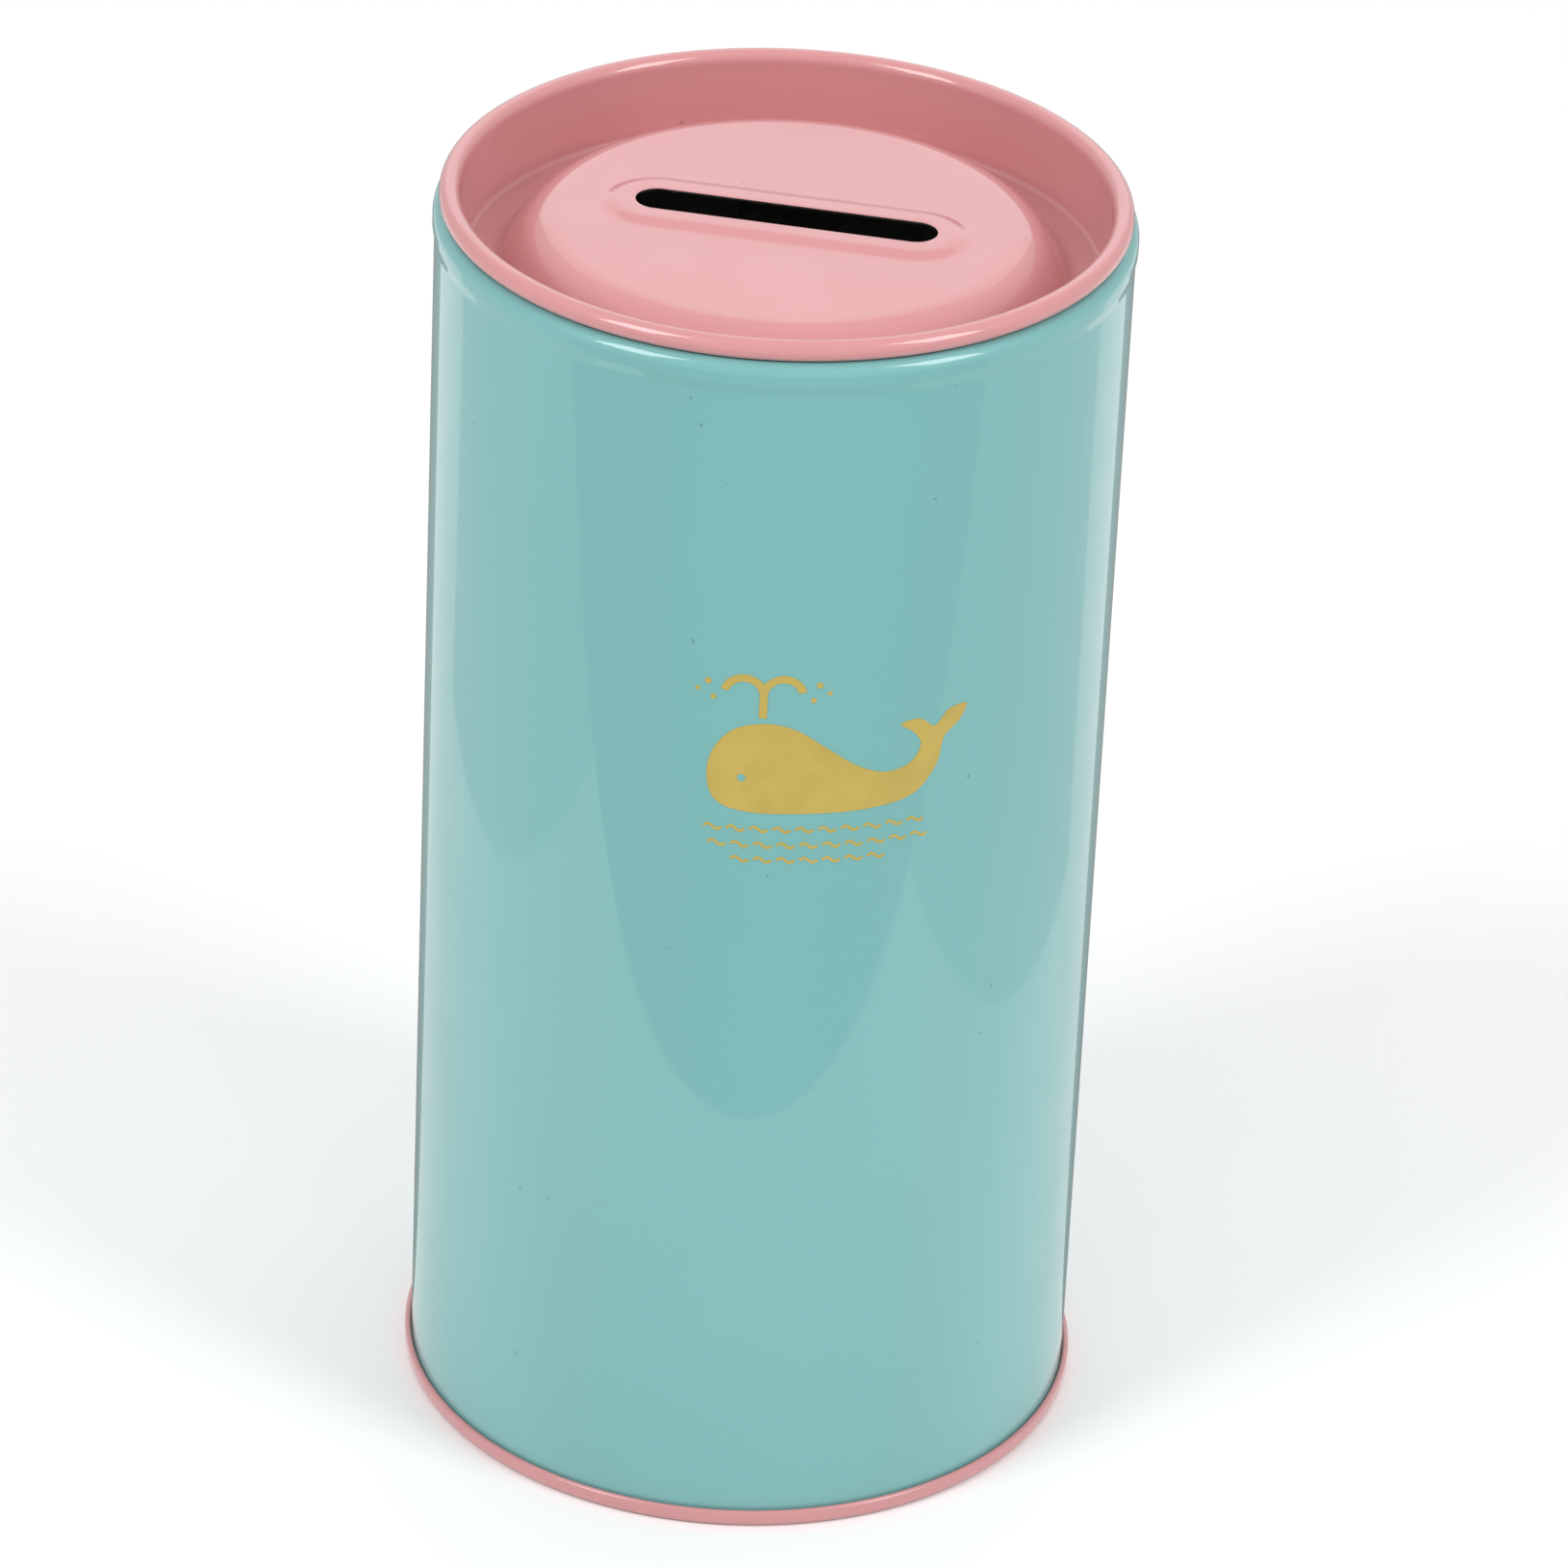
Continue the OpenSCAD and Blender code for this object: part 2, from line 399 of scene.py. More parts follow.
class Shader(Wiring):
    """A material's node tree, with short calls for the nodes that the finishes share."""

    def __init__(self, name: str) -> None:
        """Makes the material.

        Args:
            name: The material's name.
        """
        self.material = bpy.data.materials.new(name)
        self.material.use_nodes = True
        self.tree = self.material.node_tree
        self.surface = self.tree.nodes["Principled BSDF"]
        self.place = self.add("ShaderNodeTexCoord").outputs["Object"]

    def set(self, **values: float | Sequence[float]) -> None:
        """Sets inputs of the surface, with the spaces of their names as underscores."""
        for name, value in values.items():
            self.surface.inputs[name.replace("_", " ")].default_value = value

    def feed(self, **sources: bpy.types.NodeSocket) -> None:
        """Links inputs of the surface, with the spaces of their names as underscores."""
        for name, source in sources.items():
            self.link(source, self.surface.inputs[name.replace("_", " ")])

    def noise(self, size: float, detail: float = 2.0, stretch: Colour = (1, 1, 1)) -> bpy.types.NodeSocket:
        """Soft noise in the piece's own space.

        Args:
            size: The size of its features, in millimetres.
            detail: Its finer octaves.
            stretch: How much longer the features are along each axis.

        Returns:
            The noise's value, about 0.5.
        """
        mapping = self.add("ShaderNodeMapping")
        mapping.inputs["Scale"].default_value = [1 / s for s in stretch]
        texture = self.add("ShaderNodeTexNoise")
        texture.inputs["Scale"].default_value = 1 / (size * MM)
        texture.inputs["Detail"].default_value = detail
        self.link(self.place, mapping.inputs["Vector"])
        self.link(mapping.outputs["Vector"], texture.inputs["Vector"])
        return texture.outputs["Fac"]

    def spread(self, value: bpy.types.NodeSocket, low: float, high: float,
               start: float = 0.25, end: float = 0.75) -> bpy.types.NodeSocket:
        """Maps a value smoothly from one range to another.

        Args:
            value: The value.
            low: The result at start.
            high: The result at end.
            start: Where the value's range starts.
            end: Where the value's range ends.

        Returns:
            The mapped value.
        """
        ramp = self.add("ShaderNodeMapRange", interpolation_type="SMOOTHSTEP")
        for name, number in zip(("From Min", "From Max", "To Min", "To Max"), (start, end, low, high)):
            ramp.inputs[name].default_value = number
        self.link(value, ramp.inputs["Value"])
        return ramp.outputs["Result"]

    def blend(self, factor: bpy.types.NodeSocket, first: Colour | bpy.types.NodeSocket,
              second: Colour | bpy.types.NodeSocket) -> bpy.types.NodeSocket:
        """Mixes two colours.

        Args:
            factor: How much of the second colour there is.
            first: The first colour, or the socket that gives it.
            second: The second colour, or the socket that gives it.

        Returns:
            The mixed colour.
        """
        mix = self.add("ShaderNodeMix", data_type="RGBA")
        self.link(factor, mix.inputs["Factor"])
        for source, target in ((first, mix.inputs[6]), (second, mix.inputs[7])):
            if isinstance(source, bpy.types.NodeSocket):
                self.link(source, target)
            else:
                target.default_value = (*source, 1)
        return mix.outputs[2]

    def bump(self, height: bpy.types.NodeSocket, depth: float,
             under: bpy.types.NodeSocket | None = None) -> bpy.types.NodeSocket:
        """A bump from a height.

        Args:
            height: The height, from 0 to 1.
            depth: The depth of the bump, in millimetres.
            under: The normal of the bumps below this one.

        Returns:
            The bumped normal.
        """
        node = self.add("ShaderNodeBump")
        node.inputs["Distance"].default_value = depth * MM
        self.link(height, node.inputs["Height"])
        if under:
            self.link(under, node.inputs["Normal"])
        return node.outputs["Normal"]


def lighter(colour: Colour, by: float) -> Colour:
    """The colour with each of its parts scaled, and none above 1."""
    return tuple(min(1.0, part * by) for part in colour)


@dataclass(frozen=True)
class Lacquer:
    """Gloss lacquer, roller-coated on tinplate.

    Attributes:
        name: The finish's name.
        colour: Its colour.
        ripple: Depth of the wavering of the sheet under it, in millimetres.
        grain: Length of that wavering along the can against across it.
        gloss: Roughness of its clear coat.
    """

    name: str
    colour: Colour
    ripple: float
    grain: float
    gloss: float = 0.05

    def make(self) -> bpy.types.Material:
        """Builds the finish's material.

        Returns:
            The material.
        """
        shader = Shader(self.name)
        along = (1, 1, self.grain)
        cloud = shader.spread(shader.noise(size=28, detail=2, stretch=along), low=0, high=1)
        colour = shader.blend(cloud, lighter(self.colour, 0.98), lighter(self.colour, 1.02))
        specks = shader.spread(shader.noise(size=1, detail=0), low=0, high=0.5, start=0.89, end=0.903)
        colour = shader.blend(specks, colour, lighter(self.colour, 0.4))
        dull = shader.spread(shader.noise(size=9, detail=3), low=0.3, high=0.42)
        wave = shader.bump(shader.noise(size=16, detail=1, stretch=along), self.ripple)
        peel = shader.bump(shader.noise(size=0.8, detail=1), depth=0.0003, under=wave)
        shader.feed(Base_Color=colour, Roughness=dull, Normal=peel, Coat_Normal=peel)
        shader.set(Specular_IOR_Level=0.2, Coat_Weight=1.0, Coat_Roughness=self.gloss)
        return shader.material


@dataclass(frozen=True)
class BareTin:
    """The tinned steel of the pieces' inner faces and cut edges.

    Attributes:
        name: The finish's name.
        colour: The metal's colour.
    """

    name: str = "bare_tin"
    colour: Colour = (0.72, 0.71, 0.69)

    def make(self) -> bpy.types.Material:
        """Builds the finish's material.

        Returns:
            The material.
        """
        shader = Shader(self.name)
        rolled = shader.noise(size=0.35, detail=3, stretch=(1, 1, 60))
        cloud = shader.spread(shader.noise(size=14, detail=3), low=0, high=1)
        colour = shader.blend(cloud, lighter(self.colour, 0.85), self.colour)
        dull = shader.spread(rolled, low=0.32, high=0.48)
        shader.feed(Base_Color=colour, Roughness=dull, Normal=shader.bump(rolled, depth=0.004))
        shader.set(Metallic=1.0)
        return shader.material


@dataclass(frozen=True)
class Coats:
    """The two faces of a sheet.

    Attributes:
        outside: The material of the face that is lacquered.
        inside: The material of the face that is bare.
    """

    outside: bpy.types.Material
    inside: bpy.types.Material

    def dress(self, mesh: bpy.types.Mesh) -> None:
        """Puts the two materials on a mesh, and nothing else.

        Args:
            mesh: The mesh.
        """
        mesh.materials.clear()
        for material in (self.outside, self.inside):
            mesh.materials.append(material)

    @staticmethod
    def index(lacquered: bool) -> int:
        """The material index of a face."""
        return 0 if lacquered else 1


@dataclass(frozen=True)
class PrintedInk:
    """Gold printing ink under a thin varnish.

    Attributes:
        name: The finish's name.
        colour: The ink's colour.
    """

    name: str = "gold_ink"
    colour: Colour = (0.50, 0.37, 0.075)

    def make(self) -> bpy.types.Material:
        """Builds the finish's material.

        Returns:
            The material.
        """
        shader = Shader(self.name)
        patch = shader.spread(shader.noise(size=4, detail=4), low=0, high=1)
        colour = shader.blend(patch, lighter(self.colour, 0.95), lighter(self.colour, 1.06))
        pores = shader.spread(shader.noise(size=0.22, detail=1), low=0, high=0.35, start=0.66, end=0.74)
        colour = shader.blend(pores, colour, lighter(self.colour, 0.7))
        dull = shader.spread(patch, low=0.3, high=0.4, start=0, end=1)
        grain = shader.bump(shader.noise(size=0.3, detail=2), depth=0.002)
        shader.feed(Base_Color=colour, Roughness=dull, Normal=grain)
        return shader.material


# ---------------------------------------------------------------------------
# Meshes
# ---------------------------------------------------------------------------


def put(name: str, data: bpy.types.ID) -> bpy.types.Object:
    """Puts a new object in the scene.

    Args:
        name: Its name.
        data: Its mesh, light or camera.

    Returns:
        The object.
    """
    made = bpy.data.objects.new(name, data)
    bpy.context.collection.objects.link(made)
    return made


class Lathe(Wiring):
    """A Geometry Nodes tree that turns a section round the can's axis.

    A section is a mesh of loose points in order, with radius as X and height as Z. The
    tree lays a grid out over it, one row to each point, and rolls the grid up.
    """

    ROW = "section_row"

    def __init__(self) -> None:
        """Builds the tree."""
        self.tree = bpy.data.node_groups.new("lathe", "GeometryNodeTree")
        sockets = self.tree.interface
        self.section = sockets.new_socket("Section", in_out="INPUT", socket_type="NodeSocketGeometry")
        self.rows = sockets.new_socket("Rows", in_out="INPUT", socket_type="NodeSocketInt")
        self.segments = sockets.new_socket("Segments", in_out="INPUT", socket_type="NodeSocketInt")
        self.finish = sockets.new_socket("Finish", in_out="INPUT", socket_type="NodeSocketMaterial")
        sockets.new_socket("Turned", in_out="OUTPUT", socket_type="NodeSocketGeometry")
        self._wire()

    def _math(self, operation: str, *values: float | bpy.types.NodeSocket) -> bpy.types.NodeSocket:
        """The result of a sum on numbers and sockets.

        Args:
            operation: The sum's name.
            *values: Its terms.

        Returns:
            The socket with the result.
        """
        node = self.add("ShaderNodeMath", operation=operation)
        for value, target in zip(values, node.inputs):
            if isinstance(value, bpy.types.NodeSocket):
                self.link(value, target)
            else:
                target.default_value = value
        return node.outputs[0]

    def _wire(self) -> None:
        """Joins the nodes up."""
        link = self.link
        given = self.add("NodeGroupInput").outputs
        points = self.add("GeometryNodeAttributeDomainSize", component="MESH")
        link(given["Section"], points.inputs[0])
        columns = self._math("ADD", given["Segments"], 1)
        grid = self.add("GeometryNodeMeshGrid")
        link(given["Rows"], grid.inputs["Vertices X"])
        link(columns, grid.inputs["Vertices Y"])

        index = self.add("GeometryNodeInputIndex").outputs[0]
        row = self._math("FLOOR", self._math("DIVIDE", self._math("ADD", index, 0.5), columns))
        column = self._math("SUBTRACT", index, self._math("MULTIPLY", row, columns))
        sample = self.add("GeometryNodeSampleIndex", data_type="FLOAT_VECTOR", domain="POINT")
        link(given["Section"], sample.inputs["Geometry"])
        link(self.add("GeometryNodeInputPosition").outputs[0], sample.inputs["Value"])
        link(self._math("MODULO", row, points.outputs["Point Count"]), sample.inputs["Index"])
        at = self.add("ShaderNodeSeparateXYZ")
        link(sample.outputs[0], at.inputs[0])
        turn = self._math("DIVIDE", self._math("MULTIPLY", column, math.tau), given["Segments"])
        place = self.add("ShaderNodeCombineXYZ")
        link(self._math("MULTIPLY", at.outputs["X"], self._math("COSINE", turn)), place.inputs["X"])
        link(self._math("MULTIPLY", at.outputs["X"], self._math("SINE", turn)), place.inputs["Y"])
        link(at.outputs["Z"], place.inputs["Z"])

        keep = self.add("GeometryNodeStoreNamedAttribute", data_type="FLOAT", domain="POINT")
        keep.inputs["Name"].default_value = self.ROW
        link(grid.outputs["Mesh"], keep.inputs["Geometry"])
        link(row, keep.inputs["Value"])
        move = self.add("GeometryNodeSetPosition")
        link(keep.outputs[0], move.inputs["Geometry"])
        link(place.outputs[0], move.inputs["Position"])
        merge = self.add("GeometryNodeMergeByDistance")
        merge.inputs["Distance"].default_value = 0.001 * MM
        link(move.outputs[0], merge.inputs["Geometry"])
        realize = self.add("GeometryNodeRealizeInstances")
        link(merge.outputs[0], realize.inputs["Geometry"])
        paint = self.add("GeometryNodeSetMaterial")
        link(realize.outputs[0], paint.inputs["Geometry"])
        link(given["Finish"], paint.inputs["Material"])
        link(paint.outputs[0], self.add("NodeGroupOutput").inputs[0])

    def turn(self, name: str, section: Line, finish: bpy.types.Material, closed: bool) -> bpy.types.Object:
        """Turns a section round the axis.

        Args:
            name: The new object's name.
            section: The section's points, in millimetres.
            finish: The material of its faces.
            closed: Whether the last point is joined to the first.

        Returns:
            The new object, whose points carry the number of their row of the section.
        """
        mesh = bpy.data.meshes.new(name)
        mesh.from_pydata([(p.x * MM, 0, p.y * MM) for p in section], [], [])
        piece = put(name, mesh)
        modifier = piece.modifiers.new("lathe", "NODES")
        modifier.node_group = self.tree
        modifier[self.rows.identifier] = len(section) + int(closed)
        modifier[self.segments.identifier] = SEGMENTS
        modifier[self.finish.identifier] = finish
        bpy.context.view_layer.update()
        turned = piece.evaluated_get(bpy.context.evaluated_depsgraph_get())
        shape = bpy.data.meshes.new_from_object(turned)
        piece.modifiers.clear()
        piece.data = shape
        return piece


def part_sides(mesh: bpy.types.Mesh, half_way: int, lacquered: Side, coats: Coats) -> None:
    """Gives each side of a turned sheet its own material.

    Args:
        mesh: The turned mesh.
        half_way: The number of points on each side of the section, the left side first.
        lacquered: The side that carries the lacquer.
        coats: The materials of the two sides.
    """
    coats.dress(mesh)
    rows = mesh.attributes[Lathe.ROW].data
    for face in mesh.polygons:
        side = Side.LEFT if max(rows[v].value for v in face.vertices) < half_way else Side.RIGHT
        face.material_index = coats.index(side is lacquered)
    mesh.attributes.remove(mesh.attributes[Lathe.ROW])


def turned_sheet(lathe: Lathe, name: str, faces: tuple[Line, Line], lacquered: Side, coats: Coats,
                 closed: bool = True) -> bpy.types.Object:
    """Turns a bent sheet round the axis.

    Args:
        lathe: The lathe.
        name: The new object's name.
        faces: The left and the right side of the sheet's section.
        lacquered: The side that carries the lacquer.
        coats: The materials of the two sides.
        closed: Whether a face closes the sheet's edge where its section starts.

    Returns:
        The new object.
    """
    left, right = faces
    piece = lathe.turn(name, left + right[::-1], coats.outside, closed)
    part_sides(piece.data, len(left), lacquered, coats)
    return piece


def edit(mesh: bpy.types.Mesh, change: Callable[[bmesh.types.BMesh], None]) -> None:
    """Changes a mesh through bmesh.

    Args:
        mesh: The mesh.
        change: What changes it.
    """
    work = bmesh.new()
    work.from_mesh(mesh)
    change(work)
    work.to_mesh(mesh)
    work.free()


def shade_smooth(mesh: bpy.types.Mesh) -> None:
    """Shades a mesh smooth between its creases."""
    mesh.polygons.foreach_set("use_smooth", [True] * len(mesh.polygons))
    mesh.set_sharp_from_angle(angle=math.radians(CREASE))


def finish_mesh(mesh: bpy.types.Mesh) -> None:
    """Merges doubles, turns the faces outwards and shades them smooth between creases.

    Args:
        mesh: The mesh.
    """

    def close(work: bmesh.types.BMesh) -> None:
        """Merges the doubles and turns the faces outwards."""
        bmesh.ops.remove_doubles(work, verts=work.verts, dist=SHEET_MERGE * MM)
        bmesh.ops.recalc_face_normals(work, faces=work.faces)

    edit(mesh, close)
    shade_smooth(mesh)


def ring_faces(work: bmesh.types.BMesh, rings: Sequence[Sequence[Vector]], material: int,
               closed: bool = True) -> None:
    """Adds rings of points, joined by a band of faces from each to the next.

    Args:
        work: The mesh under construction.
        rings: The rings, in metres, with the same number of points each.
        material: The material index of the faces.
        closed: Whether each ring's last point is joined to its first.
    """
    made = [[work.verts.new(p) for p in ring] for ring in rings]
    span = len(rings[0]) if closed else len(rings[0]) - 1
    for inner, outer in zip(made, made[1:]):
        for i in range(span):
            j = (i + 1) % len(inner)
            face = work.faces.new((inner[i], inner[j], outer[j], outer[i]))
            face.material_index = material


# ---------------------------------------------------------------------------
# The can's body
# ---------------------------------------------------------------------------


@dataclass
class BodyShell:
    """The rolled wall, with its folded side seam, band, mouth roll and base hook.

    Attributes:
        can: The shared sizes.
        lock_w: Width of the folded layers of the side seam.
        lock_angle: Angle of the side seam round the can, in degrees from +X.
        lock_span: Angle from the seam's middle to the round wall, in degrees.
        lock_bottom: Height at which the folded layers start.
        lock_below: From the top of the folded layers up to the centre of the mouth roll.
        lock_end: Height of the short faces at each end of the folded layers.
        flush_bend: Radius with which the flush edge leaves the round wall.
        flush_short: How far the flush edge's hook stops before the seam's side.
        dip_bend: Radius of the bends with which the other edge dips.
        dip_short: How far the dipping edge's hook stops before the seam's side.
        hook_short: From the end of the hook at its foot up to the top of the base seam.
        roll_turn: Angle that the mouth roll turns through, in degrees.
    """

    can: CanSizes
    lock_w: float = 3.8
    lock_angle: float = 112.5
    lock_span: float = 7.5
    lock_bottom: float = 6.0
    lock_below: float = 10.0
    lock_end: float = 0.2
    flush_bend: float = 8.0
    flush_short: float = 1.1
    dip_bend: float = 0.2
    dip_short: float = 0.7
    hook_short: float = 0.55
    roll_turn: float = 310.0

    @property
    def lock_top(self) -> float:
        """Height at which the folded layers end."""
        return self.can.roll_z - self.lock_below

    def middle_line(self) -> Line:
        """The wall's section.

        Returns:
            Its middle line, from the base hook to the end of the mouth roll.
        """
        can, tin = self.can, self.can.tin
        hook_mid = can.wall_mid + 2 * tin.pitch
        line = bent([
            (hook_mid, can.seam_h - self.hook_short, 0),
            (hook_mid, can.hook_z, tin.pitch),
            (can.wall_mid, can.hook_z, tin.pitch),
            (can.wall_mid, self.lock_bottom, 0),
            (can.wall_mid, self.lock_top, 0),
            (can.wall_mid, can.roll_z - can.band_h - can.band_rise, can.band_bend),
            (can.band_mid, can.roll_z - can.band_h, can.band_bend),
            (can.band_mid, can.roll_z, 0),
        ])
        roll = arc(Vector((can.roll_r, can.roll_z)), can.roll_mid, 0, self.roll_turn)
        return held(spaced(line + roll))

    def fold_lines(self) -> tuple[Line, Line]:
        """The side seam's two hooked edges in plan.

        A point's x is how far round the can it lies from the seam's middle, and its y is
        how deep it lies under the wall's outer face.

        Returns:
            The edge that lies flush, and the one that dips under it.
        """
        can, tin = self.can, self.can.tin
        span = math.radians(self.lock_span)
        start = can.wall_mid * math.sin(span)
        start_depth = can.wall_r - can.wall_mid * math.cos(span)
        corner = can.wall_mid * math.tan(span / 2)
        half = self.lock_w / 2
        layer = [tin.half + i * tin.pitch for i in range(4)]
        flush = bent([
            (-start, start_depth, 0),
            (-corner, layer[0], self.flush_bend),
            (half, layer[0], tin.pitch),
            (half, layer[2], tin.pitch),
            (-half + self.flush_short, layer[2], 0),
        ])
        dipped = bent([
            (start, start_depth, 0),
            (corner, layer[0], self.dip_bend),
            (half + tin.pitch, layer[1], self.dip_bend),
            (half + tin.pitch, layer[3], self.dip_bend),
            (-half, layer[3], tin.pitch),
            (-half, layer[1], tin.pitch),
            (half - self.dip_short, layer[1], 0),
        ])
        return held(flush), held(dipped)

    def open_for_seam(self, mesh: bpy.types.Mesh) -> None:
        """Cuts the stretch of wall that the side seam takes, and closes the cut's edges.

        Args:
            mesh: The turned wall.
        """
        middle = math.radians(self.lock_angle)
        facing = Vector((math.cos(middle), math.sin(middle)))
        reach = math.cos(math.radians(self.lock_span))
        low, high = self.lock_bottom * MM, self.lock_top * MM

        def cut(work: bmesh.types.BMesh) -> None:
            """Takes the faces out and bridges the two sides of the sheet.

            Args:
                work: The mesh under construction.
            """
            inside = [
                f for f in work.faces
                if low < f.calc_center_median().z < high
                and f.calc_center_median().xy.normalized().dot(facing) > reach
            ]
            bmesh.ops.delete(work, geom=inside, context="FACES")
            rim = [e for e in work.edges if e.is_boundary]
            bmesh.ops.bridge_loops(work, edges=rim)

        edit(mesh, cut)

    def add_fold(self, mesh: bpy.types.Mesh, line: Line, lacquered: Side) -> None:
        """Adds one hooked edge of the side seam.

        Args:
            mesh: The wall's mesh.
            line: The edge's middle line in plan.
            lacquered: The side of the line that carries the lacquer.
        """
        place = Matrix.Rotation(math.radians(self.lock_angle), 4, "Z")
        left, right = sides(line, self.can.tin.thickness)
        low, high = self.lock_bottom, self.lock_top
        levels = (low, low + self.lock_end, high - self.lock_end, high)

        def lifted(points: Iterable[Vector], height: float) -> list[Vector]:
            """The points in plan at a height, in metres and in their place on the can."""
            return [place @ (Vector((self.can.wall_r - p.y, p.x, height)) * MM) for p in points]

        def fill(work: bmesh.types.BMesh) -> None:
            """Adds the sheet's two sides, its two upright edges and its two ends.

            Args:
                work: The mesh under construction.
            """
            for side, points in ((Side.LEFT, left), (Side.RIGHT, right)):
                coat = Coats.index(side is lacquered)
                ring_faces(work, [lifted(points, z) for z in levels], coat, closed=False)
            for i in (0, -1):
                end = [left[i], right[i]]
                ring_faces(work, [lifted(end, z) for z in levels], Coats.index(False), closed=False)
            for z in (low, high):
                ring_faces(work, [lifted(left, z), lifted(right, z)], Coats.index(False), closed=False)

        edit(mesh, fill)

    def build(self, lathe: Lathe, coats: Coats) -> bpy.types.Object:
        """Makes the body.

        Args:
            lathe: The lathe.
            coats: The materials of its outside and its inside.

        Returns:
            The body.
        """
        faces = sides(self.middle_line(), self.can.tin.thickness)
        piece = turned_sheet(lathe, "body_wall", faces, Side.RIGHT, coats)
        self.open_for_seam(piece.data)
        for line, lacquered in zip(self.fold_lines(), (Side.RIGHT, Side.LEFT)):
            self.add_fold(piece.data, line, lacquered)
        finish_mesh(piece.data)
        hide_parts("body_shell")
        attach(piece, "can")
        return piece


# ---------------------------------------------------------------------------
# The base
# ---------------------------------------------------------------------------


@dataclass
class BaseEnd:
    """The stamped base, whose edge is folded round the body's hook.

    Attributes:
        can: The shared sizes.
        countersink: Height of the panel above the standing edge.
        ring_r: Radius of the stiffening ring.
        ring_half: Half the width of the ring's floor.
        ring_depth: Depth of the ring.
        ring_slope: Width of each of the ring's slopes.
        ring_bend: Radius of the ring's bends.
        panel_bend: Radius of the bend from the panel to the wall inside the seam.
        foot_bend: Radius of the seam's foot, on the inside.
        hook_gap: Gap between the end of its hook and the body's hook.
    """

    can: CanSizes
    countersink: float = 3.4
    ring_r: float = 29.0
    ring_half: float = 2.0
    ring_depth: float = 0.9
    ring_slope: float = 1.0
    ring_bend: float = 1.0
    panel_bend: float = 0.8
    foot_bend: float = 0.15
    hook_gap: float = 0.1

    def middle_line(self) -> Line:
        """The base's section.

        Returns:
            Its middle line, from its centre to the end of its hook.
        """
        can, tin = self.can, self.can.tin
        panel = self.countersink + tin.half
        chuck_mid = can.wall_mid - tin.pitch
        seam_mid = can.wall_mid + 3 * tin.pitch
        hook_mid = can.wall_mid + tin.pitch
        ring_in, ring_out = self.ring_r - self.ring_half, self.ring_r + self.ring_half
        return held(bent([
            (0, panel, 0),
            (ring_in - self.ring_slope, panel, self.ring_bend),
            (ring_in, panel - self.ring_depth, self.ring_bend),
            (ring_out, panel - self.ring_depth, self.ring_bend),
            (ring_out + self.ring_slope, panel, self.ring_bend),
            (chuck_mid, panel, self.panel_bend),
            (chuck_mid, tin.half, self.foot_bend),
            (seam_mid, tin.half, can.foot_r - tin.half),
            (seam_mid, can.seam_h - tin.half, tin.pitch),
            (hook_mid, can.seam_h - tin.half, tin.pitch),
            (hook_mid, can.hook_z + tin.half + self.hook_gap, 0),
        ]))

    def build(self, lathe: Lathe, coats: Coats) -> bpy.types.Object:
        """Makes the base.

        Args:
            lathe: The lathe.
            coats: The materials of its outside and its inside.

        Returns:
            The base.
        """
        faces = sides(self.middle_line(), self.can.tin.thickness)
        piece = turned_sheet(lathe, "base_panel", faces, Side.RIGHT, coats)
        finish_mesh(piece.data)
        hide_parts("base_end")
        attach(piece, "can")
        return piece


# ---------------------------------------------------------------------------
# The lid
# ---------------------------------------------------------------------------


def bar_point(turn: float, half_straight: float, radius: float) -> Vector:
    """A point of the outline of a bar with round ends.

    Args:
        turn: How far round the bar the point lies, from 0 to 2 pi.
        half_straight: Half the length of the bar's straight sides.
        radius: The radius of its ends.

    Returns:
        The point.
    """
    across, along = math.sin(turn), math.cos(turn)
    quarter = math.atan2(abs(across), abs(along))
    lean = min(2 * quarter, math.pi / 2)
    x = half_straight * min(math.cos(quarter) * math.sqrt(2), 1) + radius * math.cos(lean)
    return Vector((math.copysign(x, along), math.copysign(radius * math.sin(lean), across)))


